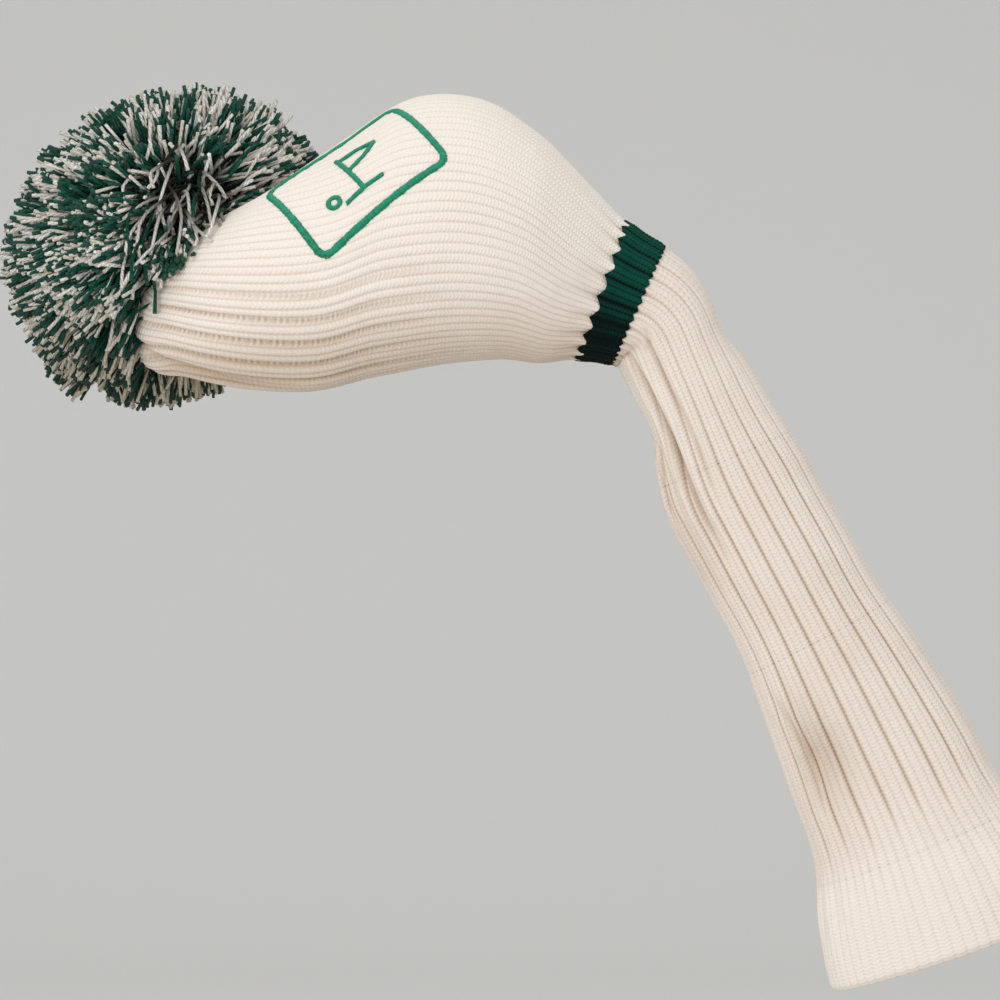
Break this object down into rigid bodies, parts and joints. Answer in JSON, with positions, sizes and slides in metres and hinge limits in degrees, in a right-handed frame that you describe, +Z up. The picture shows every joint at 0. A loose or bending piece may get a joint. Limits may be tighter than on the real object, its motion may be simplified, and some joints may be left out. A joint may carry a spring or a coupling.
{
  "type": "knitted driver head cover",
  "caption": "Soft knitted cover for a golf driver's head, with a padded bulb, a striped neck, a long ribbed sock and a yarn pompom.",
  "frame": {"origin": "centre of the neck, in the middle of the green stripe's width, where the cover closes round the club", "axes": "+Z up, as the cover sits on a club that stands head up in a bag; -X towards the gathered crown and the pompom; the sock hangs towards +X and -Z; -Y is the embroidered side"},
  "size_m": [0.3914, 0.134, 0.323],
  "materials": {
    "cream_knit": "matte rib knit",
    "green_knit": "matte knit",
    "green_yarn": "cut yarn pile",
    "white_yarn": "cut yarn pile",
    "lining": "brushed fleece",
    "elastic": "woven elastic",
    "felt": "felt",
    "thread": "twisted thread",
    "green_thread": "satin stitch thread"
  },
  "bodies": {
    "head": {"head_shell": "cream_knit", "head_lining": "lining", "crown_gather_thread": "thread", "neck_stripe": "green_knit", "neck_elastic": "elastic", "embroidery_border": "green_thread", "embroidery_motif": "green_thread", "embroidery_backing": "felt"},
    "sock_top": {"sock_neck_fold": "cream_knit", "sock_upper": "cream_knit"},
    "sock_mid": {"sock_curl_stretch": "cream_knit", "sock_middle": "cream_knit"},
    "sock_end": {"sock_sway_stretch": "cream_knit", "sock_lower": "cream_knit", "hem_outer": "cream_knit", "hem_turned": "cream_knit", "hem_stitches": "thread"},
    "pompom_seat": {"crown_washer": "felt"},
    "pompom": {"anchor_knot": "thread", "anchor_cord": "thread", "pompom_tie": "thread", "pompom_green_yarn": "green_yarn", "pompom_white_yarn": "white_yarn"}
  },
  "joints": [
    {"name": "sock_fold", "type": "hinge", "parent": "head", "child": "sock_top", "pos_m": [0.0208, 0, -0.0188], "axis": [0, 1, 0], "range_deg": [-42, 35], "deforming": ["sock_neck_fold"]},
    {"name": "sock_curl", "type": "hinge", "parent": "sock_top", "child": "sock_mid", "pos_m": [0.0546, 0, -0.0912], "axis": [0, 1, 0], "range_deg": [-35, 35], "deforming": ["sock_curl_stretch"]},
    {"name": "sock_sway", "type": "hinge", "parent": "sock_mid", "child": "sock_end", "pos_m": [0.0856, 0, -0.1506], "axis": [0.8988, 0, 0.4384], "range_deg": [-40, 40], "deforming": ["sock_sway_stretch"]},
    {"name": "pompom_twirl", "type": "hinge", "parent": "head", "child": "pompom_seat", "pos_m": [-0.15503, 0.015, 0.00936], "axis": [-0.6014, 0.7431, 0.2933], "range_deg": [-60, 60]},
    {"name": "pompom_nod", "type": "hinge", "parent": "pompom_seat", "child": "pompom", "pos_m": [-0.14745, 0.00564, 0.00566], "axis": [0.7773, 0.6291, 0], "range_deg": [-10, 10]}
  ]
}
